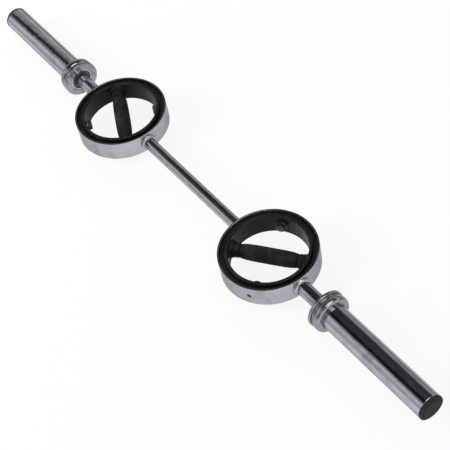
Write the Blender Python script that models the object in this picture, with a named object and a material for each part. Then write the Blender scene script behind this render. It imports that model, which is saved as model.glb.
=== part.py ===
"""Curl bar with two turning ring grips and two turning plate sleeves.

Blender 4.5 script, in metres, +Z up. X runs along the bar, whose middle is over the
origin, and the flat rings lie level, with their axes along Z. The bar stands on its
two round collars, so the bar's own axis is one collar radius above the origin.
"""
import math

import bmesh
import bpy

# Gaps between pieces
SEAT_GAP = 0.0003
RUNNING_GAP = 0.0003
NOSE_CLEARANCE = 0.0008

# Shaft and rings
SHAFT_RADIUS = 0.012
RING_SPACING = 0.488
BAND_OUTER_RADIUS = 0.0935
BAND_WALL = 0.003
BAND_HEIGHT = 0.042
BAND_CHAMFER = 0.0006
WELD_LENGTH = 0.006
WELD_FLARE = 0.0045
WELD_LIP = 0.001

# Guide race between band and hoop
RACE_HEIGHT = 0.024
RACE_WALL = 0.0099
RACE_CHAMFER = 0.0008
GROOVE_DEPTH = 0.0057
RACE_SCREW_ANGLE = 61.0
SCREW_HEAD_RADIUS = 0.0042
SCREW_SHANK_RADIUS = 0.0025
SCREW_HEAD_DEPTH = 0.0017
SCREW_GRIP = 0.0032
SCREW_RECESS = 0.0002
SCREW_SOCKET_RADIUS = 0.0016
SCREW_SOCKET_DEPTH = 0.0012

# Turning hoop and its handle
HOOP_WALL = 0.006
HOOP_HEIGHT = 0.042
HOOP_CHAMFER = 0.0015
GUIDE_RADIUS = 0.005
CORE_RADIUS = 0.008
GRIP_BELLY_RADIUS = 0.0155
GRIP_END_RADIUS = 0.0132
CUP_LENGTH = 0.018
CUP_NECK_RADIUS = 0.0138
CUP_FOOT_RADIUS = 0.0195
LEFT_HANDLE_ANGLE = -27.0
RIGHT_HANDLE_ANGLE = 34.0
GUIDE_HEAD_RADIUS = 0.0098
GUIDE_HEAD_HEIGHT = 0.007
GUIDE_WASHER_RADIUS = 0.0105
GUIDE_WASHER_THICKNESS = 0.002

# Spindles that carry the sleeves
SPINDLE_RADIUS = 0.014
JOURNAL_RADIUS = 0.0125
STUB_LENGTH = 0.0625
SHOULDER_DEPTH = 0.030
END_RECESS = 0.019
THREAD_RADIUS = 0.006
THREAD_DEPTH = 0.034

# Plate sleeves and collars
SLEEVE_RADIUS = 0.025
SLEEVE_WALL = 0.004
SLEEVE_LENGTH = 0.269
SLEEVE_CHAMFER = 0.0008
FLANGE_RADIUS = 0.038
FLANGE_THICKNESS = 0.006
FLANGE_ROUND = 0.0018
COLLAR_GROOVE_RADIUS = 0.032
COLLAR_GROOVE_WIDTH = 0.0045
RIDGE_RADIUS = 0.0372
RIDGE_THICKNESS = 0.0155
RIDGE_CROWN = 0.0054
RIDGE_SQUARENESS = 2.2
SEAL_INSET = 0.0015
SEAL_THICKNESS = 0.005
BUSHING_LENGTH = 0.036
WASHER_RADIUS = 0.019
WASHER_THICKNESS = 0.003
BOLT_HEAD_RADIUS = 0.011
BOLT_HEAD_HEIGHT = 0.008
CAP_THICKNESS = 0.0057
CAP_ROUND = 0.0018
CAP_BOSS_RADIUS = 0.018
CAP_BOSS_HEIGHT = 0.0008
CAP_SKIRT_LENGTH = 0.0105
CAP_SKIRT_WALL = 0.003

# Facets round each kind of turned piece, and steps along curved outlines
RING_SIDES = 48
COLLAR_SIDES = 32
BAR_SIDES = 24
GRIP_SIDES = 20
SMALL_SIDES = 12
GRIP_STEPS = 8
CUP_STEPS = 5
RIDGE_STEPS = 8

# Sizes that follow from the ones above
AXIS_HEIGHT = FLANGE_RADIUS
RING_OFFSET = RING_SPACING / 2
BAND_INNER_RADIUS = BAND_OUTER_RADIUS - BAND_WALL
RACE_OUTER_RADIUS = BAND_INNER_RADIUS - SEAT_GAP
RACE_INNER_RADIUS = RACE_OUTER_RADIUS - RACE_WALL
HOOP_OUTER_RADIUS = RACE_INNER_RADIUS - RUNNING_GAP
HOOP_INNER_RADIUS = HOOP_OUTER_RADIUS - HOOP_WALL
GROOVE_FLOOR_RADIUS = RACE_INNER_RADIUS + GROOVE_DEPTH
GROOVE_HALF_HEIGHT = GUIDE_RADIUS + RUNNING_GAP
NOSE_REACH = GROOVE_FLOOR_RADIUS - NOSE_CLEARANCE
SCREW_LENGTH = BAND_WALL + SCREW_GRIP
GRIP_HALF_LENGTH = HOOP_INNER_RADIUS - CUP_LENGTH
SLEEVE_BORE_RADIUS = SLEEVE_RADIUS - SLEEVE_WALL
LINING_RADIUS = SLEEVE_BORE_RADIUS - SEAT_GAP
COLLAR_FACE = RING_OFFSET + BAND_OUTER_RADIUS + STUB_LENGTH
SHOULDER = COLLAR_FACE + SHOULDER_DEPTH
SLEEVE_END = COLLAR_FACE + SLEEVE_LENGTH
SPINDLE_END = SLEEVE_END - END_RECESS
COLLAR_LENGTH = FLANGE_THICKNESS + COLLAR_GROOVE_WIDTH + RIDGE_THICKNESS

SIDES = (("left", -1, LEFT_HANDLE_ANGLE), ("right", 1, RIGHT_HANDLE_ANGLE))


def clear_scene():
    """Remove every object that the file opened with."""
    for thing in list(bpy.data.objects):
        bpy.data.objects.remove(thing, do_unlink=True)


def finish(name, colour, roughness, metallic):
    """Return a Principled material of one colour."""
    material = bpy.data.materials.new(name)
    material.use_nodes = True
    shader = material.node_tree.nodes["Principled BSDF"]
    shader.inputs["Base Color"].default_value = (*colour, 1.0)
    shader.inputs["Roughness"].default_value = roughness
    shader.inputs["Metallic"].default_value = metallic
    return material


def axis_empty(name, location, rotation=(0.0, 0.0, 0.0)):
    """Return an empty that stands on an axis and carries the pieces of that axis."""
    empty = bpy.data.objects.new(name, None)
    empty.location = location
    empty.rotation_euler = rotation
    bpy.context.collection.objects.link(empty)
    return empty


def add_piece(name, bm, parent, material=None, location=(0, 0, 0), rotation=(0, 0, 0)):
    """Turn a bmesh into a smooth-shaded object under its parent, faces outwards."""
    bmesh.ops.recalc_face_normals(bm, faces=bm.faces[:])
    mesh = bpy.data.meshes.new(name)
    bm.to_mesh(mesh)
    bm.free()
    mesh.shade_smooth()
    mesh.set_sharp_from_angle(angle=math.radians(30))
    piece = bpy.data.objects.new(name, mesh)
    piece.parent = parent
    piece.location = location
    piece.rotation_euler = rotation
    if material:
        mesh.materials.append(material)
    bpy.context.collection.objects.link(piece)
    return piece


def spin_outline(bm, outline, sides):
    """Spin (radius, height) points round Z; a loop closes unless it ends on the axis."""
    points = [bm.verts.new((radius, 0.0, height)) for radius, height in outline]
    edges = [bm.edges.new(pair) for pair in zip(points, points[1:])]
    if outline[0][0] > 0:
        edges.append(bm.edges.new((points[-1], points[0])))
    bmesh.ops.spin(bm, geom=points + edges, cent=(0, 0, 0), axis=(0, 0, 1),
                   angle=2 * math.pi, steps=sides, use_merge=True)
    bmesh.ops.remove_doubles(bm, verts=bm.verts[:], dist=0.00001)


def turned(name, outline, sides, parent, material=None, **place):
    """Make a turned piece whose axis is its own Z."""
    bm = bmesh.new()
    spin_outline(bm, outline, sides)
    return add_piece(name, bm, parent, material, **place)


def rod(low, high, radius):
    """Return the outline of a plain rod between two heights."""
    return [(0, low), (radius, low), (radius, high), (0, high)]


def tube(low, high, inner, outer, chamfer=0.0):
    """Return the outline of a tube, with its outer edges broken by a chamfer."""
    if not chamfer:
        return [(inner, low), (outer, low), (outer, high), (inner, high)]
    return [(inner, low), (outer - chamfer, low), (outer, low + chamfer),
            (outer, high - chamfer), (outer - chamfer, high), (inner, high)]


def ring(half_height, inner, outer, chamfer):
    """Return the outline of a flat ring with all four edges broken."""
    return [(inner, half_height - chamfer), (inner, chamfer - half_height),
            (inner + chamfer, -half_height), (outer - chamfer, -half_height),
            (outer, chamfer - half_height), (outer, half_height - chamfer),
            (outer - chamfer, half_height), (inner + chamfer, half_height)]


def as_cutter(piece):
    """Mark an object as a guide that is used by a Boolean and never shown."""
    piece.hide_render = True
    piece.display_type = 'WIRE'
    return piece


def cut(piece, cutter, operation='DIFFERENCE'):
    """Add an exact Boolean to a piece."""
    boolean = piece.modifiers.new(cutter.name, 'BOOLEAN')
    boolean.operation = operation
    boolean.solver = 'EXACT'
    boolean.object = cutter


def hex_bolt(name, head_radius, head_height, shank_radius, shank_length, parent,
             material, **place):
    """Make a hexagon bolt: head above its own z = 0, shank below it."""
    bm = bmesh.new()
    bmesh.ops.create_cone(bm, cap_ends=True, segments=6, radius1=head_radius,
                          radius2=head_radius, depth=head_height)
    bmesh.ops.translate(bm, verts=bm.verts[:], vec=(0, 0, head_height / 2))
    bolt = add_piece(name, bm, parent, material, **place)
    overlap = head_height / 2
    shank = turned(name + "_shank_guide", rod(-shank_length, overlap, shank_radius),
                   SMALL_SIDES, parent, **place)
    cut(bolt, as_cutter(shank), 'UNION')


def materials():
    """Return the finishes of the bar by name."""
    return {
        "chrome": finish("chrome", (0.5, 0.5, 0.54), 0.12, 1.0),
        "weld": finish("weld", (0.42, 0.42, 0.44), 0.35, 1.0),
        "nylon": finish("black_nylon", (0.02, 0.02, 0.022), 0.45, 0.0),
        "hoop": finish("black_enamel", (0.015, 0.015, 0.017), 0.3, 0.0),
        "rubber": finish("black_rubber", (0.022, 0.022, 0.024), 0.7, 0.0),
        "steel": finish("bare_steel", (0.55, 0.55, 0.56), 0.35, 1.0),
        "dark_steel": finish("black_oxide", (0.05, 0.05, 0.055), 0.4, 0.8),
        "bronze": finish("bronze", (0.62, 0.42, 0.2), 0.4, 1.0),
    }


def band_guide(name, parent, reach=BAND_OUTER_RADIUS + SEAT_GAP):
    """Return the round guide that shapes what meets a ring's wall."""
    return as_cutter(turned(name, rod(-BAND_HEIGHT, BAND_HEIGHT, reach), RING_SIDES, parent))


def weld_bead(name, station, outward, radius, guide, parent, material):
    """Make a weld bead round the bar where it meets a band, at a distance along the bar."""
    root = station - outward * WELD_LENGTH
    tip = station + outward * WELD_LENGTH
    inner = radius + SEAT_GAP
    outline = [(inner, root), (radius + WELD_FLARE, root), (radius + WELD_FLARE, station),
               (radius + WELD_LIP, tip), (inner, tip)]
    bead = turned(name, outline, BAR_SIDES, parent, material)
    cut(bead, guide)


def shaft(finishes, frame):
    """Make the shaft between the rings, its ends shaped to the rings' walls."""
    end = RING_OFFSET - BAND_OUTER_RADIUS + WELD_LENGTH
    return turned("centre_shaft", rod(-end, end, SHAFT_RADIUS), BAR_SIDES, frame,
                  finishes["chrome"], rotation=(0, math.pi / 2, 0))


def screw_outline(clearance=0.0, extra=0.0):
    """Return the outline of a countersunk race screw, its head's top at z = 0."""
    head = SCREW_HEAD_RADIUS + clearance
    shank = SCREW_SHANK_RADIUS + clearance
    tip = -SCREW_LENGTH - clearance
    points = [(0, tip), (shank, tip), (shank, -SCREW_HEAD_DEPTH), (head, 0)]
    if extra:
        return points + [(head, extra), (0, extra)]
    return points + [(SCREW_SOCKET_RADIUS, 0), (SCREW_SOCKET_RADIUS, -SCREW_SOCKET_DEPTH),
                     (0, -SCREW_SOCKET_DEPTH)]


def fixed_ring(side, sign, finishes, centre):
    """Make one chrome band, its nylon race and the screws that join them."""
    band = turned(side + "_band",
                  ring(BAND_HEIGHT / 2, BAND_INNER_RADIUS, BAND_OUTER_RADIUS, BAND_CHAMFER),
                  RING_SIDES, centre, finishes["chrome"])
    half, lip, groove = RACE_HEIGHT / 2, RACE_CHAMFER, GROOVE_HALF_HEIGHT
    outline = [(RACE_INNER_RADIUS, -groove), (RACE_INNER_RADIUS, lip - half),
               (RACE_INNER_RADIUS + lip, -half), (RACE_OUTER_RADIUS, -half),
               (RACE_OUTER_RADIUS, half), (RACE_INNER_RADIUS + lip, half),
               (RACE_INNER_RADIUS, half - lip), (RACE_INNER_RADIUS, groove),
               (GROOVE_FLOOR_RADIUS, groove), (GROOVE_FLOOR_RADIUS, -groove)]
    race = turned(side + "_guide_race", outline, RING_SIDES, centre, finishes["nylon"])
    for number, angle in ((1, -RACE_SCREW_ANGLE), (2, 180 - RACE_SCREW_ANGLE)):
        turn = math.radians(angle if sign > 0 else 180 - angle)
        reach = BAND_OUTER_RADIUS - SCREW_RECESS
        place = {"location": (reach * math.cos(turn), reach * math.sin(turn), 0),
                 "rotation": (0, math.pi / 2, turn)}
        hole = turned(f"{side}_screw_hole_{number}", screw_outline(SEAT_GAP, BAND_WALL),
                      SMALL_SIDES, centre, **place)
        as_cutter(hole)
        cut(band, hole)
        cut(race, hole)
        turned(f"{side}_race_screw_{number}", screw_outline(), SMALL_SIDES, centre,
               finishes["dark_steel"], **place)


def grip_outline():
    """Return the grip's outline: a belly that thins to both ends by the fourth power."""
    bore = CORE_RADIUS + SEAT_GAP
    points = []
    for step in range(GRIP_STEPS + 1):
        share = 2 * step / GRIP_STEPS - 1
        thin = (GRIP_BELLY_RADIUS - GRIP_END_RADIUS) * abs(share) ** 4
        points.append((GRIP_BELLY_RADIUS - thin, share * GRIP_HALF_LENGTH))
    return [(bore, -GRIP_HALF_LENGTH)] + points + [(bore, GRIP_HALF_LENGTH)]


def cup_outline():
    """Return the outline of an end cup, a trumpet that widens to the hoop's wall."""
    bore = CORE_RADIUS + SEAT_GAP
    neck = GRIP_HALF_LENGTH + SEAT_GAP
    flare = CUP_FOOT_RADIUS - CUP_NECK_RADIUS
    points = []
    for step in range(CUP_STEPS + 1):
        share = step / CUP_STEPS
        rise = flare * (1 - math.sqrt(1 - share ** 2))
        points.append((CUP_NECK_RADIUS + rise, neck + share * (HOOP_INNER_RADIUS - neck)))
    return [(bore, neck)] + points + [(bore, HOOP_INNER_RADIUS)]


def on_wall(radius):
    """Return how far out a flat disc of this radius reaches inside the hoop's wall."""
    return math.sqrt(HOOP_INNER_RADIUS ** 2 - radius ** 2) - SEAT_GAP


def turning_grip(side, finishes, axis):
    """Make one hoop, its handle and the bolts that keep the hoop in its race."""
    hoop = turned(side + "_hoop",
                  ring(HOOP_HEIGHT / 2, HOOP_INNER_RADIUS, HOOP_OUTER_RADIUS, HOOP_CHAMFER),
                  RING_SIDES, axis, finishes["hoop"])
    along_x, along_y = (0, math.pi / 2, 0), (-math.pi / 2, 0, 0)
    bore = GUIDE_RADIUS + SEAT_GAP
    for number, turn in enumerate((along_x, along_y)):
        drill = turned(f"{side}_hoop_drill_{number}",
                       rod(-BAND_OUTER_RADIUS, BAND_OUTER_RADIUS, bore), SMALL_SIDES, axis,
                       rotation=turn)
        cut(hoop, as_cutter(drill))

    shoulder = on_wall(CORE_RADIUS)
    turned(side + "_handle_core",
           [(0, -NOSE_REACH), (GUIDE_RADIUS, -NOSE_REACH), (GUIDE_RADIUS, -shoulder),
            (CORE_RADIUS, -shoulder), (CORE_RADIUS, shoulder), (GUIDE_RADIUS, shoulder),
            (GUIDE_RADIUS, NOSE_REACH), (0, NOSE_REACH)],
           SMALL_SIDES, axis, finishes["steel"], rotation=along_x)
    turned(side + "_grip", grip_outline(), GRIP_SIDES, axis, finishes["rubber"],
           rotation=along_x)
    wall = as_cutter(turned(side + "_hoop_wall_guide",
                            rod(-HOOP_HEIGHT, HOOP_HEIGHT, HOOP_INNER_RADIUS - SEAT_GAP),
                            RING_SIDES, axis))
    for end, turn in (("front", math.pi / 2), ("back", -math.pi / 2)):
        cup = turned(f"{side}_{end}_cup", cup_outline(), GRIP_SIDES, axis,
                     finishes["rubber"], rotation=(0, turn, 0))
        cut(cup, wall, 'INTERSECT')

    seat = on_wall(GUIDE_WASHER_RADIUS)
    under_head = seat - GUIDE_WASHER_THICKNESS - SEAT_GAP
    for number, way in ((1, 1), (2, -1)):
        turn = (way * math.pi / 2, 0, 0)
        turned(f"{side}_guide_washer_{number}",
               tube(-seat, GUIDE_WASHER_THICKNESS - seat, GUIDE_RADIUS + SEAT_GAP,
                    GUIDE_WASHER_RADIUS),
               SMALL_SIDES, axis, finishes["steel"], rotation=turn)
        hex_bolt(f"{side}_guide_bolt_{number}", GUIDE_HEAD_RADIUS, GUIDE_HEAD_HEIGHT,
                 GUIDE_RADIUS, NOSE_REACH - under_head, axis, finishes["dark_steel"],
                 location=(0, way * under_head, 0), rotation=turn)


def spindle(side, finishes, line, guide):
    """Make the spindle that carries one sleeve, bored for its end bolt."""
    start = RING_OFFSET + BAND_OUTER_RADIUS - WELD_LENGTH
    hole = THREAD_RADIUS + SEAT_GAP
    piece = turned(side + "_spindle",
                   [(0, start), (SPINDLE_RADIUS, start), (SPINDLE_RADIUS, SHOULDER),
                    (JOURNAL_RADIUS, SHOULDER), (JOURNAL_RADIUS, SPINDLE_END),
                    (hole, SPINDLE_END), (hole, SPINDLE_END - THREAD_DEPTH),
                    (0, SPINDLE_END - THREAD_DEPTH)],
                   BAR_SIDES, line, finishes["chrome"])
    cut(piece, guide)
    washer_low = SPINDLE_END + SEAT_GAP
    washer_high = washer_low + WASHER_THICKNESS
    turned(side + "_retaining_washer",
           tube(washer_low, washer_high, THREAD_RADIUS + SEAT_GAP, WASHER_RADIUS),
           BAR_SIDES, line, finishes["steel"])
    head = washer_high + SEAT_GAP
    shank = head - (SPINDLE_END - THREAD_DEPTH) - NOSE_CLEARANCE
    hex_bolt(side + "_end_bolt", BOLT_HEAD_RADIUS, BOLT_HEAD_HEIGHT, THREAD_RADIUS, shank,
             line, finishes["steel"], location=(0, 0, head))


def collar_outline():
    """Return the collar's outline: a thin flange, a groove and a wide ridge.

    Across its thickness the ridge rises from its foot to its full radius and falls again in
    the arch (1 - |s|^p)^(1/p), with s from -1 to 1 and p its squareness, 2 for a half ellipse.
    """
    bore = SLEEVE_RADIUS + SEAT_GAP
    flange_back = COLLAR_FACE + FLANGE_THICKNESS
    ridge_front = flange_back + COLLAR_GROOVE_WIDTH
    back = COLLAR_FACE + COLLAR_LENGTH
    ease = FLANGE_ROUND
    ridge = []
    for step in range(RIDGE_STEPS + 1):
        across = -math.cos(math.pi * step / RIDGE_STEPS)
        arch = (1 - abs(across) ** RIDGE_SQUARENESS) ** (1 / RIDGE_SQUARENESS)
        foot = COLLAR_GROOVE_RADIUS if across < 0 else RIDGE_RADIUS - RIDGE_CROWN
        ridge.append((foot + (RIDGE_RADIUS - foot) * arch,
                      ridge_front + RIDGE_THICKNESS * (1 + across) / 2))
    return [(bore, COLLAR_FACE), (FLANGE_RADIUS - 2 * ease, COLLAR_FACE),
            (FLANGE_RADIUS - ease / 2, COLLAR_FACE + ease / 2),
            (FLANGE_RADIUS, COLLAR_FACE + 1.5 * ease), (FLANGE_RADIUS, flange_back - ease / 2),
            (FLANGE_RADIUS - ease / 2, flange_back), (COLLAR_GROOVE_RADIUS, flange_back + ease / 2),
            *ridge, (bore, back)]


def cap_outline():
    """Return the end cap's outline: a skirt in the sleeve's bore and a bossed disc."""
    seat = SLEEVE_END + SEAT_GAP
    face = seat + CAP_THICKNESS
    rim = face - CAP_BOSS_HEIGHT
    skirt_end = seat - CAP_SKIRT_LENGTH
    skirt_bore = LINING_RADIUS - CAP_SKIRT_WALL
    return [(0, seat), (skirt_bore, seat), (skirt_bore, skirt_end), (LINING_RADIUS, skirt_end),
            (LINING_RADIUS, seat), (SLEEVE_RADIUS, seat), (SLEEVE_RADIUS, rim - CAP_ROUND),
            (SLEEVE_RADIUS - CAP_ROUND, rim), (CAP_BOSS_RADIUS + CAP_BOSS_HEIGHT, rim),
            (CAP_BOSS_RADIUS, face), (0, face)]


def turning_sleeve(side, finishes, line):
    """Make one plate sleeve with its collar, seal, bushings and end cap."""
    turned(side + "_sleeve_tube",
           tube(COLLAR_FACE, SLEEVE_END, SLEEVE_BORE_RADIUS, SLEEVE_RADIUS, SLEEVE_CHAMFER),
           BAR_SIDES, line, finishes["chrome"])
    turned(side + "_stop_collar", collar_outline(), COLLAR_SIDES, line, finishes["chrome"])
    turned(side + "_end_cap", cap_outline(), BAR_SIDES, line, finishes["rubber"])
    seal_low = COLLAR_FACE + SEAL_INSET
    turned(side + "_dust_seal",
           tube(seal_low, seal_low + SEAL_THICKNESS, SPINDLE_RADIUS + RUNNING_GAP, LINING_RADIUS),
           BAR_SIDES, line, finishes["steel"])
    inner_low = SHOULDER + RUNNING_GAP
    outer_low = SPINDLE_END - BUSHING_LENGTH
    for name, low in (("inner_bushing", inner_low), ("outer_bushing", outer_low)):
        turned(f"{side}_{name}",
               tube(low, low + BUSHING_LENGTH, JOURNAL_RADIUS + RUNNING_GAP, LINING_RADIUS),
               BAR_SIDES, line, finishes["bronze"])


def build():
    """Make the whole bar."""
    clear_scene()
    finishes = materials()
    frame = axis_empty("bar_frame", (0, 0, AXIS_HEIGHT))
    shaft_piece = shaft(finishes, frame)
    for side, sign, handle_angle in SIDES:
        centre_at = (sign * RING_OFFSET, 0, AXIS_HEIGHT)
        outward = (0, sign * math.pi / 2, 0)
        centre = axis_empty(side + "_ring_centre", centre_at)
        grip_axis = axis_empty(side + "_grip_axis", centre_at, (0, 0, math.radians(handle_angle)))
        spindle_line = axis_empty(side + "_spindle_line", (0, 0, AXIS_HEIGHT), outward)
        sleeve_axis = axis_empty(side + "_sleeve_axis", (0, 0, AXIS_HEIGHT), outward)

        guide = band_guide(side + "_band_guide", centre)
        cut(shaft_piece, guide)
        fixed_ring(side, sign, finishes, centre)
        weld_bead(side + "_inner_weld", RING_OFFSET - BAND_OUTER_RADIUS, -1, SHAFT_RADIUS, guide,
                  spindle_line, finishes["weld"])
        weld_bead(side + "_outer_weld", RING_OFFSET + BAND_OUTER_RADIUS, 1, SPINDLE_RADIUS, guide,
                  spindle_line, finishes["weld"])
        spindle(side, finishes, spindle_line, guide)
        turning_grip(side, finishes, grip_axis)
        turning_sleeve(side, finishes, sleeve_axis)


build()
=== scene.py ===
"""Looks of a curl bar with two turning ring grips and two turning plate sleeves.

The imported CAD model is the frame. Each piece made here stands for the CAD node of the same
name, in its place and to its sizes, with the roundings, threads, weld ripples, grip pattern
and finishes that the plain solids leave out. Lengths are in metres. X runs along the bar,
Z is up, and the bar's own line is one collar radius above the floor.
"""
from __future__ import annotations

import logging
import math
from dataclasses import dataclass
from enum import Enum

import bpy
import numpy as np
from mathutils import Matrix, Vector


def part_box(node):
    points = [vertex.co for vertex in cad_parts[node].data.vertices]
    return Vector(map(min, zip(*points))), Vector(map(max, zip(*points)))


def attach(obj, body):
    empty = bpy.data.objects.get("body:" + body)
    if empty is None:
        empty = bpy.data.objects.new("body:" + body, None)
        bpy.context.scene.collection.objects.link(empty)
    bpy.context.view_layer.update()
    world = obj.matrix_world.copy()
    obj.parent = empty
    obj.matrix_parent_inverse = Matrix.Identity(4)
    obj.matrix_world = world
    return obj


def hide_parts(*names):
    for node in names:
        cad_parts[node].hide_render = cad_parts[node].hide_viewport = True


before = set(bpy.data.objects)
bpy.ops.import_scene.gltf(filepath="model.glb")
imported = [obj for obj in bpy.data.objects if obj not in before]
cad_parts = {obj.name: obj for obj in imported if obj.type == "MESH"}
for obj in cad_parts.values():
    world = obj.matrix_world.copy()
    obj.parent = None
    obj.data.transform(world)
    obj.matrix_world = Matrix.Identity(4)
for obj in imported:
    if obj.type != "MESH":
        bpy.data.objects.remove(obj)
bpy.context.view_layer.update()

LOG = logging.getLogger("curl_bar")
Array = np.ndarray
Socket = bpy.types.NodeSocket
Material = bpy.types.Material
Triple = tuple[float, float, float]
Corners = list[tuple[float, float]]
TURN = 2.0 * math.pi
QUARTER = math.pi / 2
# Lengths that differ by less than this count as the same.
SLACK = 1e-9


class Side(Enum):
    """The two ends of the bar, each with its way along X."""

    LEFT = -1
    RIGHT = 1

    @property
    def label(self) -> str:
        """Return the word that the side's pieces start with."""
        return self.name.lower()


class Lay(Enum):
    """The way that fine polishing marks run on a metal piece."""

    ROUND_BAR = "round the bar"
    ROUND_RING = "round the ring"
    NONE = "every way"


# Surfaces


@dataclass
class Shell:
    """A closed surface whose columns go all the way round an axis.

    Attributes:
        points: Places on a grid, rows by columns by 3.
        wear: How exposed each point is to rubbing, 0 to 1, rows by columns.
        looped: Whether the last row meets the first, as on a ring. Otherwise the first and
            last rows are each one point on the axis.
    """

    points: Array
    wear: Array
    looped: bool = True

    def placed(self, matrix: Array) -> Shell:
        """Return the shell moved by a 4 by 4 matrix, as rotation times point plus shift."""
        moved = self.points @ matrix[:3, :3].T + matrix[:3, 3]
        return Shell(moved, self.wear, self.looped)

    def corners(self) -> tuple[Array, Array, Array, Array]:
        """Number the points and join them into faces.

        Returns:
            Places, wear, four-sided faces and three-sided faces. On an open shell the end
            rows shrink to one point each, which closes the poles with triangles.
        """
        rows, columns = self.wear.shape
        if self.looped:
            ids = np.arange(rows * columns).reshape(rows, columns)
            below, above = ids, np.roll(ids, -1, axis=0)
            triangles = np.zeros((0, 3), int)
            points, wear = self.points.reshape(-1, 3), self.wear.ravel()
        else:
            ids = 1 + np.arange((rows - 2) * columns).reshape(rows - 2, columns)
            below, above = ids[:-1], ids[1:]
            last = ids[-1, -1] + 1
            first_ring, last_ring = ids[0], ids[-1]
            start = np.stack([np.zeros(columns, int), np.roll(first_ring, -1), first_ring], 1)
            end = np.stack([np.full(columns, last), last_ring, np.roll(last_ring, -1)], 1)
            triangles = np.concatenate([start, end])
            inner = self.points[1:-1].reshape(-1, 3)
            points = np.concatenate([self.points[0, :1], inner, self.points[-1, :1]])
            wear = np.concatenate([self.wear[0, :1], self.wear[1:-1].ravel(), self.wear[-1, :1]])
        quads = np.stack([below, np.roll(below, -1, axis=1), np.roll(above, -1, axis=1), above], -1)
        return points, wear, quads.reshape(-1, 4), triangles

    def mesh(self, name: str, sharp_degrees: float) -> bpy.types.Mesh:
        """Write the shell into a mesh, faces outwards.

        A closed surface encloses the volume sum(a . (b x c)) / 6 over its triangles, which
        is below zero when the faces point inwards; then every face is turned over.

        Args:
            name: Name of the mesh.
            sharp_degrees: Edges that turn by more than this stay sharp.

        Returns:
            The mesh, with the wear as a point attribute.
        """
        points, wear, quads, triangles = self.corners()
        halves = np.concatenate([quads[:, [0, 1, 2]], quads[:, [0, 2, 3]], triangles])
        a, b, c = (points[halves[:, k]] for k in range(3))
        if np.einsum("ij,ij->", a - points.mean(0), np.cross(b - a, c - a)) < 0:
            quads, triangles = quads[:, ::-1], triangles[:, ::-1]
        loops = np.concatenate([quads.ravel(), triangles.ravel()]).astype(np.int32)
        sizes = np.concatenate([np.full(len(quads), 4), np.full(len(triangles), 3)])
        starts = np.concatenate([[0], np.cumsum(sizes)[:-1]]).astype(np.int32)
        mesh = bpy.data.meshes.new(name)
        mesh.vertices.add(len(points))
        mesh.vertices.foreach_set("co", points.astype(np.float32).ravel())
        mesh.loops.add(len(loops))
        mesh.loops.foreach_set("vertex_index", loops)
        mesh.polygons.add(len(sizes))
        mesh.polygons.foreach_set("loop_start", starts)
        mesh.update(calc_edges=True)
        mesh.validate()
        attribute = mesh.attributes.new("wear", "FLOAT", "POINT")
        attribute.data.foreach_set("value", wear.astype(np.float32))
        mesh.shade_smooth()
        mesh.set_sharp_from_angle(angle=math.radians(sharp_degrees))
        return mesh


def rounded(outline: Corners, radius: float | list[float], closed: bool = True,
            steps: int = 5) -> tuple[Array, Array]:
    """Round the corners of an outline in the plane of radius and height.

    With the points as complex numbers, a corner that turns by phi between the directions d
    and e starts at P - d r tan(phi / 2) and follows centre + (start - centre) exp(i phi t).
    A support point on either side of each arc keeps the flats between them flat.

    Args:
        outline: Corners as (radius, height).
        radius: Rounding of every corner, or of each one in turn.
        closed: Whether the last corner joins the first. An open outline keeps its ends.
        steps: Steps along each arc.

    Returns:
        The rounded outline, points by 2, and the wear, which is 1 on the arcs.
    """
    support, most_of_edge = 0.0009, 0.42
    corner = np.array([complex(*p) for p in outline])
    into, out = corner - np.roll(corner, 1), np.roll(corner, -1) - corner
    room = np.minimum(abs(into), abs(out)) * most_of_edge
    into, out = into / abs(into), out / abs(out)
    turn = np.angle(out / into)
    bend = np.tan(np.abs(turn) / 2)
    size = np.minimum(np.broadcast_to(np.array(radius, float), corner.shape), room / bend)
    start = corner - into * size * bend
    centre = start + 1j * np.sign(turn) * size * into
    share = np.linspace(0.0, 1.0, steps + 1)
    arcs = centre[:, None] + (start - centre)[:, None] * np.exp(1j * turn[:, None] * share)
    gap = np.minimum(support, room * 0.5)
    rows = np.concatenate([(start - into * gap)[:, None], arcs,
                           (arcs[:, -1] + out * gap)[:, None]], axis=1)
    wear = np.zeros(rows.shape)
    wear[:, 1:-1] = 1.0
    line, weights = rows.ravel(), wear.ravel()
    if not closed:
        line = np.concatenate([corner[:1], rows[1:-1].ravel(), corner[-1:]])
        weights = np.concatenate([[0.0], wear[1:-1].ravel(), [0.0]])
    return np.stack([line.real, line.imag], axis=1), weights


def all_round(count: int) -> Array:
    """Return this many even angles round a full turn, in radians."""
    return np.arange(count) * TURN / count


def swept(radius: Array, height: Array, angle: Array, wear: Array | float = 0.0,
          looped: bool = True) -> Shell:
    """Set points round Z: x = r cos(a), y = r sin(a), z = height.

    Args:
        radius: Distance from the axis, rows by columns or rows by 1.
        height: Height, rows by columns or rows by 1.
        angle: Angle of each column.
        wear: Wear, rows by columns, rows by 1 or one number.
        looped: Whether the last row meets the first.

    Returns:
        The shell.
    """
    x, y, z, worn = np.broadcast_arrays(radius * np.cos(angle), radius * np.sin(angle),
                                        height, wear)
    return Shell(np.stack([x, y, z], axis=-1), worn, looped)


def turned(profile: Array, wear: Array, angle: Array, looped: bool = True) -> Shell:
    """Turn a profile of (radius, height) rows round Z, with a column at each angle."""
    return swept(profile[:, :1], profile[:, 1:], angle, wear[:, None], looped)


def lathe(outline: Corners, radius: float | list[float], columns: int, closed: bool = True,
          steps: int = 5) -> Shell:
    """Round the corners of an outline, as rounded does, and turn it round Z."""
    return turned(*rounded(outline, radius, closed, steps), all_round(columns), closed)


def section(inner: float, outer: float, low: float, high: float) -> Corners:
    """Return the four corners of a plain ring's section."""
    return [(inner, low), (outer, low), (outer, high), (inner, high)]


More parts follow.
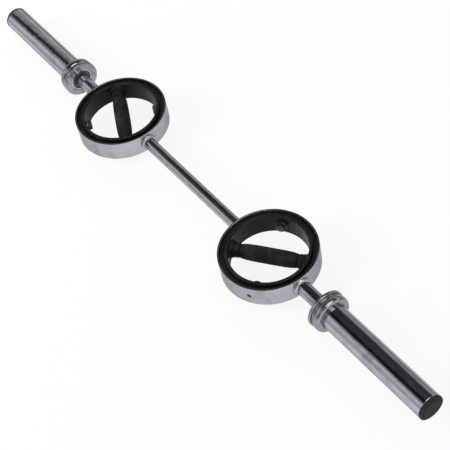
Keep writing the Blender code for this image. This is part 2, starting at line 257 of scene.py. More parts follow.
def matrix_of(place: Triple = (0.0, 0.0, 0.0), turn_x: float = 0.0, turn_y: float = 0.0,
              turn_z: float = 0.0) -> Array:
    """Return the 4 by 4 matrix that turns round X, then Y, then Z, and then shifts.

    Args:
        place: Shift.
        turn_x: Angle round X, in radians.
        turn_y: Angle round Y, in radians.
        turn_z: Angle round Z, in radians.

    Returns:
        The product of the shift and the three plane turns.
    """
    (cx, sx), (cy, sy), (cz, sz) = ((math.cos(a), math.sin(a)) for a in (turn_x, turn_y, turn_z))
    about_x = np.array([[1, 0, 0], [0, cx, -sx], [0, sx, cx]])
    about_y = np.array([[cy, 0, sy], [0, 1, 0], [-sy, 0, cy]])
    about_z = np.array([[cz, -sz, 0], [sz, cz, 0], [0, 0, 1]])
    matrix = np.eye(4)
    matrix[:3, :3] = about_z @ about_y @ about_x
    matrix[:3, 3] = place
    return matrix


def hexagon(angle: Array, corner: float) -> Array:
    """Return the radius of a hexagon at each angle.

    The flat nearest an angle is square to the closest multiple of 60 degrees off it, so the
    radius is corner cos(30) / cos(angle left over).

    Args:
        angle: Angles in radians.
        corner: Radius through the corners.

    Returns:
        The radius at each angle.
    """
    left_over = (angle + math.pi / 6) % (math.pi / 3) - math.pi / 6
    return corner * math.cos(math.pi / 6) / np.cos(left_over)


def smoothstep(value: Array) -> Array:
    """Return 3 v^2 - 2 v^3 of values held between 0 and 1."""
    held = np.clip(value, 0.0, 1.0)
    return held * held * (3.0 - 2.0 * held)


def mound(value: Array, centre: float, width: float) -> Array:
    """Return exp(-((v - centre) / width)^2), a smooth rise to 1 and back."""
    return np.exp(-((value - centre) / width) ** 2)


# Finishes


class Recipe:
    """The node tree of one material, with short ways to add the nodes its finish needs."""

    def __init__(self, name: str) -> None:
        """Start a material from its Principled shader.

        Args:
            name: Name of the material.
        """
        self.material = bpy.data.materials.new(name)
        self.material.use_nodes = True
        self.nodes = self.material.node_tree.nodes
        self.links = self.material.node_tree.links
        self.shader = self.nodes["Principled BSDF"]
        self.place = self.nodes.new("ShaderNodeTexCoord").outputs["Object"]

    def feed(self, socket: Socket, value: Socket | float | tuple) -> None:
        """Link another node's output to a socket, or set the socket to a constant.

        Args:
            socket: The socket.
            value: The output or the constant.
        """
        if isinstance(value, Socket):
            self.links.new(value, socket)
        else:
            socket.default_value = value

    def set(self, **sockets: Socket | float | tuple) -> None:
        """Feed the shader's sockets, named with _ in place of spaces."""
        for name, value in sockets.items():
            self.feed(self.shader.inputs[name.replace("_", " ")], value)

    def add(self, kind: str, sockets: dict[str | int, Socket | float | tuple],
            output: str | int = 0, **settings: str) -> Socket:
        """Add a node.

        Args:
            kind: Its type, without the leading ShaderNode.
            sockets: What feeds each socket, by the socket's name or number.
            output: The output to return, by name or number.
            **settings: Its menus and texts.

        Returns:
            The output.
        """
        node = self.nodes.new("ShaderNode" + kind)
        for name, setting in settings.items():
            setattr(node, name, setting)
        for key, value in sockets.items():
            self.feed(node.inputs[key], value)
        return node.outputs[output]

    def stretched(self, scale: Triple) -> Socket:
        """Return the object's coordinates scaled along each axis."""
        return self.add("Mapping", {"Scale": scale, "Vector": self.place})

    def noise(self, scale: float, detail: float = 3.0, rough: float = 0.5,
              vector: Socket | None = None, warp: float = 0.0) -> Socket:
        """Add a noise texture.

        Args:
            scale: Spots per metre.
            detail: Number of finer layers.
            rough: Strength of the finer layers.
            vector: Coordinates, or None for the object's own.
            warp: How far the noise bends itself.

        Returns:
            The texture's value.
        """
        return self.add("TexNoise", {"Scale": scale, "Detail": detail, "Roughness": rough,
                                     "Distortion": warp, "Vector": vector or self.place}, "Fac")

    def cells(self, scale: float) -> Socket:
        """Return the distance from the nearest of many scattered points."""
        return self.add("TexVoronoi", {"Scale": scale, "Vector": self.place}, "Distance")

    def wear(self) -> Socket:
        """Return the wear that the mesh carries."""
        return self.add("Attribute", {}, "Fac", attribute_name="wear")

    def ramp(self, value: Socket, low: float, high: float, out_low: float,
             out_high: float) -> Socket:
        """Map a value from one span to another in an S curve and hold it there.

        Args:
            value: Value to map.
            low: Start of the span that is read.
            high: End of the span that is read.
            out_low: Result at the start.
            out_high: Result at the end.

        Returns:
            The mapped value.
        """
        spans = {"From Min": low, "From Max": high, "To Min": out_low, "To Max": out_high}
        return self.add("MapRange", {**spans, "Value": value}, "Result",
                        interpolation_type="SMOOTHSTEP")

    def math(self, how: str, *values: Socket | float) -> Socket:
        """Join one or two values by an operation of the Math node, such as ADD."""
        return self.add("Math", dict(enumerate(values)), operation=how)

    def blend(self, share: Socket, first: Triple | Socket, second: Triple) -> Socket:
        """Mix two colours. A share of 0 gives the first, 1 the second."""
        start = (*first, 1.0) if isinstance(first, tuple) else first
        return self.add("Mix", {0: share, 6: start, 7: (*second, 1.0)}, 2, data_type="RGBA")

    def bump(self, *layers: tuple[Socket, float]) -> None:
        """Raise the surface by one height after another.

        Args:
            *layers: Height values with the depth that a full step of each has, in metres.
        """
        below: dict[str | int, Socket | float | tuple] = {}
        for height, depth in layers:
            below = {"Normal": self.add("Bump", {"Distance": depth, "Height": height, **below})}
        self.set(**below)

    def show(self, shader: Socket, other: Socket, share: Socket) -> Material:
        """Make the surface a mix of two shaders.

        Args:
            shader: The first shader.
            other: The shader that is shown over it.
            share: How much of the other is shown, 0 to 1.

        Returns:
            The material.
        """
        mix = self.add("MixShader", {0: share, 1: shader, 2: other})
        self.links.new(mix, self.nodes["Material Output"].inputs["Surface"])
        return self.material


@dataclass(frozen=True)
class ChromePlate:
    """Polished chrome plate: near a mirror, with haze, hairlines and rubbed edges.

    Attributes:
        name: Name of the material.
        lay: The way that the hairlines run.
        colour: Colour where the plate is clean.
        smudged: Colour where hands have dulled it.
        gloss: Roughness where it is cleanest.
        haze: Roughness where it is most dulled.
        ripple: Depth of the plate's slow waves.
        edge_tint: Colour that it mirrors at a glancing angle.
        pitted: Colour of the small pits.
    """

    name: str
    lay: Lay
    colour: Triple = (0.525, 0.52, 0.575)
    smudged: Triple = (0.385, 0.38, 0.435)
    gloss: float = 0.08
    haze: float = 0.2
    ripple: float = 0.00022
    edge_tint: Triple = (0.62, 0.62, 0.66)
    pitted: Triple = (0.16, 0.15, 0.15)

    def make(self) -> Material:
        """Mix the finish. Where hairlines run round the bar, smudges are drawn out along it.

        Returns:
            The material.
        """
        recipe = Recipe(self.name)
        fine, slow = 1400.0, 14.0
        scale = {Lay.ROUND_BAR: (fine, slow, slow), Lay.ROUND_RING: (slow, slow, fine),
                 Lay.NONE: (fine, fine, fine)}[self.lay]
        lines = recipe.noise(1.0, 2.0, 0.6, recipe.stretched(scale))
        cloud = recipe.noise(22.0, 5.0, 0.62, warp=0.4)
        if self.lay is Lay.ROUND_BAR:
            streak = recipe.noise(1.0, 4.0, 0.6, recipe.stretched((26.0, 110.0, 110.0)))
            smudge = recipe.ramp(recipe.math("MAXIMUM", cloud, streak), 0.5, 0.68, 0.0, 1.0)
        else:
            smudge = recipe.ramp(cloud, 0.45, 0.72, 0.0, 1.0)
        rubbed = recipe.math("MULTIPLY", recipe.wear(), recipe.noise(160.0, 3.0))
        hairline = recipe.ramp(lines, 0.62, 0.74, 0.0, 1.0)
        haze = recipe.ramp(cloud, 0.35, 0.75, self.gloss, self.haze)
        for marks, strength in ((hairline, 0.08), (rubbed, 0.14)):
            haze = recipe.math("ADD", haze, recipe.math("MULTIPLY", marks, strength))
        pits = recipe.ramp(recipe.cells(330.0), 0.0, 0.07, 0.55, 0.0)
        colour = recipe.blend(smudge, self.colour, self.smudged)
        recipe.set(Metallic=1.0, Specular_Tint=(*self.edge_tint, 1.0), Roughness=haze,
                   Base_Color=recipe.blend(pits, colour, self.pitted))
        recipe.bump((recipe.noise(48.0, 1.0), self.ripple), (lines, 0.000002),
                    (recipe.noise(900.0, 2.0), 0.0000025))
        return recipe.material


@dataclass(frozen=True)
class BlackCoat:
    """Black enamel, nylon, oxide or moulding, told apart by gloss, grain and wear.

    Attributes:
        name: Name of the material.
        colour: Colour of the coat.
        worn: Colour where it is rubbed.
        gloss: Roughness where it is smoothest.
        dull: Roughness where it is dullest.
        specular: Strength of its reflection.
        grain: Spots per metre of its fine grain.
        depth: Depth of that grain.
        rub: How much of the edges is rubbed, 0 to 1.
        metallic: Metallic value.
    """

    name: str
    colour: Triple
    worn: Triple
    gloss: float
    dull: float
    specular: float = 0.5
    grain: float = 900.0
    depth: float = 0.00003
    rub: float = 0.5
    metallic: float = 0.0

    def make(self) -> Material:
        """Mix the finish.

        Returns:
            The material.
        """
        recipe = Recipe(self.name)
        grain = recipe.noise(self.grain, 4.0, 0.6)
        cloud = recipe.noise(30.0, 4.0, 0.6, warp=0.3)
        scuff = recipe.noise(1.0, 3.0, 0.65, recipe.stretched((240.0, 900.0, 240.0)))
        chipped = recipe.ramp(recipe.noise(420.0, 4.0), 0.42, 0.66, 0.0, self.rub)
        marks = recipe.ramp(scuff, 0.66, 0.8, 0.0, 0.35)
        share = recipe.math("MAXIMUM", recipe.math("MULTIPLY", recipe.wear(), chipped), marks)
        dusty = recipe.blend(recipe.ramp(cloud, 0.4, 0.8, 0.0, 0.35), self.colour, self.worn)
        dull = recipe.ramp(cloud, 0.3, 0.7, self.gloss, self.dull)
        recipe.set(Metallic=self.metallic, Specular_IOR_Level=self.specular,
                   Base_Color=recipe.blend(share, dusty, self.worn),
                   Roughness=recipe.math("ADD", dull, recipe.math("MULTIPLY", marks, 0.3)))
        recipe.bump((cloud, self.depth * 2.0), (grain, self.depth), (scuff, self.depth * 0.4))
        return recipe.material


@dataclass(frozen=True)
class GripRubber:
    """Moulded rubber of the handle, its raised pattern greyed by hands.

    Attributes:
        name: Name of the material.
        colour: Colour down in the pattern.
        worn: Colour on the raised tips.
        lint: Colour of the specks of dust on it.
    """

    name: str = "grip_rubber"
    colour: Triple = (0.008, 0.0078, 0.0083)
    worn: Triple = (0.036, 0.034, 0.037)
    lint: Triple = (0.09, 0.088, 0.085)

    def make(self) -> Material:
        """Mix the finish.

        Returns:
            The material.
        """
        recipe = Recipe(self.name)
        cloud = recipe.noise(45.0, 4.0, 0.6, warp=0.5)
        pebble = recipe.noise(2600.0, 3.0, 0.55)
        tips = recipe.math("MULTIPLY", recipe.wear(), recipe.ramp(cloud, 0.35, 0.65, 0.15, 0.9))
        specks = recipe.ramp(recipe.noise(700.0, 2.0, 0.7), 0.72, 0.8, 0.0, 0.4)
        shine = recipe.math("MULTIPLY", tips, -0.18)
        colour = recipe.blend(tips, self.colour, self.worn)
        dull = recipe.ramp(cloud, 0.3, 0.7, 0.58, 0.74)
        recipe.set(Specular_IOR_Level=0.2, Base_Color=recipe.blend(specks, colour, self.lint),
                   Roughness=recipe.math("ADD", dull, shine))
        recipe.bump((cloud, 0.00015), (pebble, 0.00005))
        return recipe.material


@dataclass(frozen=True)
class TurnedMetal:
    """Bare metal off the lathe: bushings, washers and cores, with a film of oil.

    Attributes:
        name: Name of the material.
        colour: Colour of the fresh metal.
        stained: Colour of the oily patches.
        gloss: Roughness of the fresh metal.
    """

    name: str
    colour: Triple
    stained: Triple
    gloss: float

    def make(self) -> Material:
        """Mix the finish.

        Returns:
            The material.
        """
        recipe = Recipe(self.name)
        rings = recipe.noise(1.0, 2.0, 0.5, recipe.stretched((2400.0, 30.0, 30.0)))
        stain = recipe.ramp(recipe.noise(70.0, 5.0, 0.65, warp=0.6), 0.42, 0.7, 0.0, 0.85)
        recipe.set(Metallic=1.0, Base_Color=recipe.blend(stain, self.colour, self.stained),
                   Roughness=recipe.ramp(stain, 0.0, 1.0, self.gloss, self.gloss + 0.2))
        recipe.bump((rings, 0.000012), (recipe.noise(1500.0, 2.0), 0.000008))
        return recipe.material


class Finishes:
    """The finishes of the bar, each made once and shared by its pieces."""

    def __init__(self) -> None:
        """Make every material."""
        self.bar_chrome = ChromePlate("bar_chrome", Lay.ROUND_BAR).make()
        self.ring_chrome = ChromePlate("ring_chrome", Lay.ROUND_RING).make()
        self.weld_chrome = ChromePlate("weld_chrome", Lay.NONE, gloss=0.14, haze=0.3,
                                       ripple=0.0006).make()
        self.collar_chrome = ChromePlate("collar_chrome", Lay.ROUND_BAR, (0.42, 0.415, 0.45),
                                         (0.3, 0.295, 0.33), gloss=0.15, haze=0.3).make()
        self.enamel = BlackCoat("black_enamel", (0.007, 0.0066, 0.0085), (0.045, 0.043, 0.048),
                                0.3, 0.46, specular=0.22).make()
        self.nylon = BlackCoat("black_nylon", (0.012, 0.012, 0.013), (0.045, 0.045, 0.046),
                               0.42, 0.6, specular=0.3, grain=2200.0, rub=0.3).make()
        self.cap = BlackCoat("black_cap", (0.011, 0.0112, 0.0115), (0.06, 0.06, 0.06), 0.46,
                             0.64, specular=0.18, grain=2400.0, depth=0.00005, rub=0.6).make()
        self.oxide = BlackCoat("black_oxide", (0.03, 0.03, 0.033), (0.24, 0.235, 0.23), 0.3,
                               0.48, grain=1600.0, rub=0.75, metallic=0.85).make()
        self.seal = BlackCoat("seal_steel", (0.13, 0.125, 0.135), (0.2, 0.2, 0.2), 0.32, 0.5,
                              grain=1500.0, rub=0.2, metallic=1.0).make()
        self.rubber = GripRubber().make()
        self.steel = TurnedMetal("turned_steel", (0.42, 0.42, 0.43), (0.16, 0.15, 0.14),
                                 0.26).make()
        self.bronze = TurnedMetal("oiled_bronze", (0.55, 0.35, 0.16), (0.2, 0.12, 0.06),
                                  0.3).make()


# Pieces of the bar


@dataclass(frozen=True)
class Layout:
    """Sizes that more than one part of the bar shares.

    Attributes:
        axis_height: Height of the bar's line.
        ring_offset: Distance of each ring's centre from the bar's middle.
        band_outer: Outer radius of a ring.
        seat_gap: Gap between pieces that sit together.
        running_gap: Gap between pieces that turn on each other.
        shaft_radius: Radius of the middle shaft.
        spindle_radius: Radius of the stubs outside the rings.
        journal: Radius of a spindle inside the bushings.
        shoulder: Distance of each spindle's shoulder from the bar's middle.
        spindle_end: Distance of each spindle's end from the bar's middle.
        collar_face: Distance of each collar's inner face from the bar's middle.
        sleeve_end: Distance of each sleeve's end from the bar's middle.
        handle_degrees: Angle of each handle from the bar's line at rest.
    """

    axis_height: float = 0.038
    ring_offset: float = 0.244
    band_outer: float = 0.0935
    seat_gap: float = 0.0003
    running_gap: float = 0.0003
    shaft_radius: float = 0.012
    spindle_radius: float = 0.014
    journal: float = 0.0125
    shoulder: float = 0.430
    spindle_end: float = 0.650
    collar_face: float = 0.400
    sleeve_end: float = 0.669
    handle_degrees: tuple[float, float] = (-27.0, 34.0)

    def ring_place(self, side: Side, **turns: float) -> Array:
        """Return the matrix of a ring's centre, with turns as matrix_of takes them."""
        return matrix_of((side.value * self.ring_offset, 0.0, self.axis_height), **turns)

    def handle_turn(self, side: Side) -> float:
        """Return a handle's angle at rest, in radians."""
        left, right = self.handle_degrees
        return math.radians(left if side is Side.LEFT else right)

    def line_place(self, way: int) -> Array:
        """Return the matrix that lays Z along the bar from its middle, way 1 or -1."""
        return matrix_of((0.0, 0.0, self.axis_height), turn_y=way * QUARTER)

    def wall_offset(self, across: Array) -> Array:
        """Return how far out a ring's wall stands, sqrt(R^2 - y^2) at y across the bar."""
        reach = self.band_outer + self.seat_gap
        return np.sqrt(reach ** 2 - across ** 2)


class Workshop:
    """Puts finished shells into the scene, each on its CAD body."""

    def __init__(self, finishes: Finishes) -> None:
        """Keep the bar's finishes and count what is made."""
        self.finishes = finishes
        self.made = 0

    def add(self, node: str, body: str, slot: str, shell: Shell, material: Material,
            sharp_degrees: float = 35.0) -> None:
        """Make one piece in place of its CAD node.

        Args:
            node: The CAD node that the piece stands for.
            body: The CAD body that it moves with.
            slot: A material slot name; not used.
            shell: Its surface, in its place.
            material: Its finish.
            sharp_degrees: Edges that turn by more than this stay sharp.
        """
        name = node + "_dressed"
        mesh = shell.mesh(name, sharp_degrees)
        mesh.materials.append(material)
        piece = bpy.data.objects.new(name, mesh)
        bpy.context.scene.collection.objects.link(piece)
        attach(piece, body)
        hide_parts(node)
        self.made += 1
        low, high = (np.array(corner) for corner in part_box(node))
        flat = shell.points.reshape(-1, 3)
        off = max(np.abs(flat.min(0) - low).max(), np.abs(flat.max(0) - high).max())
        LOG.info("%s: %d faces, box within %.2f mm of its node's", name, len(mesh.polygons),
                 off * 1000)


@dataclass
class MiddleShaft:
    """The chromed shaft between the rings, its ends shaped to their walls.

    Attributes:
        layout: Shared sizes.
        columns: Columns round the shaft.
        cap_rows: Rows from the middle of an end to its rim.
        body_rows: Rows along the shaft.
    """

    layout: Layout
    columns: int = 96
    cap_rows: int = 8
    body_rows: int = 40

    def shell(self) -> Shell:
        """Work out the shaft.

        Each end is a disc pressed onto a ring's wall: a point at radius p and angle a lies
        across the bar by p sin(a), and along it at offset - sqrt(R^2 - (p sin a)^2). The
        body's rows share out the length between the two rims at every angle.

        Returns:
            The shaft along Z about the origin.
        """
        angle, radius = all_round(self.columns), self.layout.shaft_radius
        share = np.linspace(0.0, 1.0, self.cap_rows)[:, None]
        across = radius * share * np.sin(angle)
        end = self.layout.ring_offset - self.layout.wall_offset(across)
        along = np.linspace(-1.0, 1.0, self.body_rows)[1:-1, None] * end[-1]
        height = np.concatenate([-end, along, end[::-1]])
        spread = np.concatenate([share, np.ones((self.body_rows - 2, 1)), share[::-1]])
        return swept(radius * spread, height, angle, looped=False)

    def dress(self, shop: Workshop) -> None:
        """Make the shaft in the scene."""
        shop.add("centre_shaft", "bar", "chrome", self.shell().placed(self.layout.line_place(1)),
                 shop.finishes.bar_chrome)


@dataclass
class EndPart:
    """A part of the bar that is made once at each end.

    Attributes:
        layout: Shared sizes.
        side: The end of the bar.
    """

    layout: Layout
    side: Side


@dataclass
class WeldBead(EndPart):
    """A rippled weld round the bar where it meets a ring's wall.

    Attributes:
        outer: Whether the bead is on the ring's outer side.
        length: Reach along the bar.
        flare: Reach up the ring's wall.
        crown: How far the bead's skin bulges.
        ripple: Height of the ripples.
        ripples: Ripples round the bar.
        columns_each: Columns in a ripple.
        rows: Rows across the skin.
        lean: How far the ripples bend back across the skin, in radians.
        crest: Power that broadens the ripples' crests, below 1.
        lift_share: Share of the lift that goes each way, out and along.
    """

    outer: bool
    length: float = 0.0055
    flare: float = 0.0044
    crown: float = 0.0007
    ripple: float = 0.00042
    ripples: int = 30
    columns_each: int = 10
    rows: int = 16
    lean: float = 2.6
    crest: float = 0.6
    lift_share: float = 0.7

    def shell(self) -> Shell:
        """Work out the bead.

        Its skin runs from a toe on the bar to a toe on the wall. On the straight line
        between them it is raised by 4 s (1 - s) times the crown and a ripple, a cosine of
        the angle that is bent back across the skin, as the pool leaves it. The back of the
        bead lies on the wall and on the bar.

        Returns:
            The bead along Z, with the ring's centre at the origin.
        """
        angle = all_round(self.ripples * self.columns_each)
        flat = np.ones(angle.shape)
        bar = self.layout.spindle_radius if self.outer else self.layout.shaft_radius
        low = bar + self.layout.seat_gap
        s = np.linspace(0.0, 1.0, self.rows)[:, None]
        toe_height = self.layout.band_outer + self.length
        wall_toe = self.layout.wall_offset((bar + self.flare) * np.sin(angle))
        phase = self.ripples * angle + self.lean * (2.0 * s - 1.0) ** 2
        wave = (0.5 + 0.5 * np.cos(phase)) ** self.crest
        lift = 4.0 * s * (1.0 - s) * (self.crown + self.ripple * wave)
        radius = low + (self.flare - self.layout.seat_gap) * s + lift * self.lift_share
        height = toe_height + (wall_toe - toe_height) * s + lift * self.lift_share
        back_radius = np.array([[bar + self.flare * 0.5], [low]]) * flat
        back_height = self.layout.wall_offset(back_radius * np.sin(angle))
        worn = np.concatenate([wave * 4.0 * s * (1.0 - s), 0.0 * back_radius])
        return swept(np.concatenate([radius * flat, back_radius]),
                     np.concatenate([height, back_height]), angle, worn)

    def dress(self, shop: Workshop) -> None:
        """Make the bead in the scene.

        Args:
            shop: Where the pieces are made.
        """
        which, way = ("outer", self.side.value) if self.outer else ("inner", -self.side.value)
        place = self.layout.ring_place(self.side, turn_y=way * QUARTER)
        shop.add(f"{self.side.label}_{which}_weld", "bar", "weld", self.shell().placed(place),
                 shop.finishes.weld_chrome, sharp_degrees=60.0)


@dataclass
class FixedRing(EndPart):
    """A chrome band with the nylon race inside it and the screws that join them.

    Attributes:
        wall: Thickness of the band.
        height: Height of the band.
        edge: Rounding of the band's edges.
        columns: Even columns round the band.
        fine_reach: Reach of the finer rows and columns either side of a screw.
        fine_steps: Number of those rows or columns.
        clear_reach: Reach either side of a screw that the even columns leave free.
        lip_width: Width of the rubbed lip round a countersink.
        race_outer: Outer radius of the race.
        race_inner: Inner radius of the race.
        race_height: Height of the race.
        groove_floor: Radius of the groove's floor.
        groove_half: Half the groove's height.
        screw_degrees: Angle of the first screw on the right ring.
        head_radius: Radius of a screw's head.
        head_depth: Depth of its cone.
        shank_radius: Radius of its shank.
        screw_length: Its length.
        recess: How far its head sits below the wall.
        socket_radius: Radius of its socket, through the corners.
        socket_depth: Depth of its socket.
    """

    wall: float = 0.003
    height: float = 0.042
    edge: float = 0.0007
    columns: int = 216
    fine_reach: float = 0.0056
    fine_steps: int = 45
    clear_reach: float = 0.0066
    lip_width: float = 0.0005
    race_outer: float = 0.0902
    race_inner: float = 0.0803
    race_height: float = 0.024
    groove_floor: float = 0.086
    groove_half: float = 0.0053
    screw_degrees: float = -61.0
    head_radius: float = 0.0042
    head_depth: float = 0.0017
    shank_radius: float = 0.0025
    screw_length: float = 0.0062
    recess: float = 0.0002
    socket_radius: float = 0.0019
    socket_depth: float = 0.0012

    def screw_turns(self) -> list[float]:
        """Return the angles of the two screws, in radians, mirrored on the left ring."""
        both = (self.screw_degrees, self.screw_degrees + 180.0)
        return [math.radians(degrees if self.side is Side.RIGHT else 180.0 - degrees)
                for degrees in both]

    def band(self) -> Shell:
        """Work out the band.

        A rounded rectangle is turned round Z, with extra columns and rows near the screws.
        There the wall sinks by head_depth times how far the distance from the screw's
        centre falls short of the countersink's rim, over the slope's width.

        Returns:
            The band about the origin.
        """
        outer, half, gap = self.layout.band_outer, self.height / 2, self.layout.seat_gap
        profile, wear = rounded(section(outer - self.wall, outer, -half, half), self.edge)
        near = np.linspace(-self.fine_reach, self.fine_reach, self.fine_steps)
        flat = profile[:, 0] > outer - SLACK
        crossing = flat[:-1] & flat[1:] & (profile[:-1, 1] * profile[1:, 1] < 0)
        at = int(np.argmax(crossing)) + 1
        rows = np.stack([np.full(near.shape, outer), near], axis=1)
        profile = np.insert(profile, at, rows, axis=0)
        wear = np.insert(wear, at, np.zeros(len(near)))
        turns, columns = self.screw_turns(), all_round(self.columns)
        close = [(turn + near / outer) % TURN for turn in turns]
        clear = [np.abs(np.angle(np.exp(1j * (columns - turn)))) > self.clear_reach / outer
                 for turn in turns]
        columns = np.sort(np.concatenate([columns[clear[0] & clear[1]], *close]))
        shell = turned(profile, wear, columns)
        on_wall = (profile[:, 0] > outer - SLACK)[:, None]
        rim = self.head_radius + gap
        slope = rim - self.shank_radius - gap
        for turn in turns:
            across = outer * np.angle(np.exp(1j * (columns - turn)))
            distance = np.hypot(across[None, :], profile[:, 1:])
            sink = self.head_depth * np.clip((rim - distance) / slope, 0.0, 1.0) * on_wall
            shell.points[..., :2] *= (1.0 - sink / outer)[..., None]
            shell.wear = np.maximum(shell.wear, mound(distance, rim, self.lip_width) * on_wall)
        return shell

    def race(self) -> Shell:
        """Work out the race: a rounded ring with a square groove in its inner wall.

        Returns:
            The race about the origin.
        """
        half, groove = self.race_height / 2, self.groove_half
        outline = [(self.race_inner, groove), (self.groove_floor, groove),
                   (self.groove_floor, -groove), (self.race_inner, -groove),
                   *section(self.race_inner, self.race_outer, -half, half)]
        return lathe(outline, [0.0004] * 4 + [0.0009, 0.0003, 0.0003, 0.0009], 180)

    def screw(self) -> Shell:
        """Work out a countersunk screw with a hexagon socket.

        The rows of the socket follow a hexagon, and the rows outside it a circle, so the
        radius of a row is a blend of the two. Each row below gives its radius, its height,
        its share of hexagon and its wear.

        Returns:
            The screw with the top of its head at z = 0, pointing down.
        """
        angle = all_round(48)
        hexed = hexagon(angle, self.socket_radius)
        mean = self.socket_radius * 0.93
        top, deep, tip = -0.00002, -self.socket_depth, -self.screw_length
        head, shank = self.head_radius, self.shank_radius
        rows = [(0.0, deep, 1.0, 0.0), (mean * 0.9, deep, 1.0, 0.0), (mean, deep, 1.0, 0.0),
                (mean, top - 0.0002, 1.0, 1.0), (mean + 0.00012, top, 1.0, 1.0),
                (mean + 0.0005, top, 0.2, 0.4), (head - 0.0003, top, 0.0, 0.5),
                (head, -0.00018, 0.0, 1.0), (head - 0.00005, -0.0003, 0.0, 0.0),
                (shank, -self.head_depth, 0.0, 0.0), (shank, tip + 0.0006, 0.0, 0.0),
                (shank - 0.0006, tip, 0.0, 0.0), (0.0, tip, 0.0, 0.0)]
        radius, height, six, worn = np.array(rows).T[:, :, None]
        spread = radius * (six * hexed / mean + (1.0 - six))
        return swept(spread, height, angle, worn, looped=False)

    def dress(self, shop: Workshop) -> None:
        """Make the ring in the scene.

        Args:
            shop: Where the pieces are made.
        """
        label, place = self.side.label, self.layout.ring_place(self.side)
        shop.add(label + "_band", "bar", "chrome", self.band().placed(place),
                 shop.finishes.ring_chrome)
        shop.add(label + "_guide_race", "bar", "nylon", self.race().placed(place),
                 shop.finishes.nylon)
        reach = self.layout.band_outer - self.recess
        for number, turn in enumerate(self.screw_turns(), start=1):
            out = matrix_of((reach * math.cos(turn), reach * math.sin(turn), 0.0),
                            turn_y=QUARTER, turn_z=turn)
            shop.add(f"{label}_race_screw_{number}", "bar", "dark_steel",
                     self.screw().placed(place @ out), shop.finishes.oxide)


@dataclass(frozen=True)
class HexBolt:
    """A hexagon bolt with a chamfered, dished head.

    Attributes:
        corner: Radius of the head through its corners.
        head: Height of the head.
        shank: Radius of the shank.
        length: Length of the shank.
        pitch: Pitch of its thread, or 0 for a plain pin.
        dish: Depth of the dish in the head.
    """

    corner: float
    head: float
    shank: float
    length: float
    pitch: float = 0.0
    dish: float = 0.0004

    def shell(self) -> Shell:
        """Work out the bolt.

        The head's top is cut by a cone, z = head - tan(30) (p - c) beyond the radius c, so
        each flat ends in an arc. Its rows are shares of the hexagon's radius. A thread
        lowers the shank by a triangle wave of z / pitch - angle / 360 degrees.

        Returns:
            The bolt with its head above z = 0 and its shank below.
        """
        angle = all_round(96)
        flat = np.ones(angle.shape)
        hexed = hexagon(angle, self.corner)
        cone, side_rows = self.corner * 0.83, 6
        shares = np.array([0.0, 0.3, 0.5, 0.56, 0.62, 0.7, 0.8, 0.88, 0.94, 1.0])[:, None]
        top_radius = np.where(shares < 0.7, shares * self.corner * 0.9, shares * hexed)
        bowl = self.dish * (1.0 - smoothstep((shares - 0.5) / 0.12))
        slope = np.maximum(0.0, top_radius - cone) * math.tan(math.pi / 6)
        top_height = self.head - slope - bowl
        side_height = np.linspace(0.9, 0.06, side_rows)[:, None] * top_height[-1]
        under_radius = np.stack([hexed - 0.0003, hexed * 0.9, (self.shank + 0.0005) * flat,
                                 self.shank * flat])
        under = np.array([[0.0], [0.0], [0.0], [-0.0004]]) * flat
        step = self.pitch / 8 if self.pitch else self.length / 6
        down = np.arange(-0.001, -self.length + 0.0012, -step)[:, None]
        depth = 0.0
        if self.pitch:
            phase = (down / self.pitch - angle / TURN) % 1.0
            runout = smoothstep((down + self.length) / 0.0016) * smoothstep((-down - 0.004) / 0.003)
            depth = 0.55 * self.pitch * np.abs(2.0 * phase - 1.0) * runout
        shank_radius = (self.shank - depth) * np.ones((len(down), 1)) * flat
        tip = np.array([[self.shank - 0.0001, -self.length + 0.0009],
                        [self.shank - 0.0009, -self.length + 0.0001],
                        [self.shank - 0.0014, -self.length], [0.0, -self.length]])
        radius = np.concatenate([top_radius, np.tile(hexed, (side_rows, 1)), under_radius,
                                 shank_radius, tip[:, :1] * flat])
        height = np.concatenate([top_height, side_height, under, down * flat, tip[:, 1:] * flat])
        worn = np.zeros(height.shape)
        worn[:8] = 0.75
        worn[8:11] = 1.0
        worn[11:16] = 0.25 + 0.75 * (hexed / self.corner - 0.866) / 0.134
        return swept(radius, height, angle, worn, looped=False)


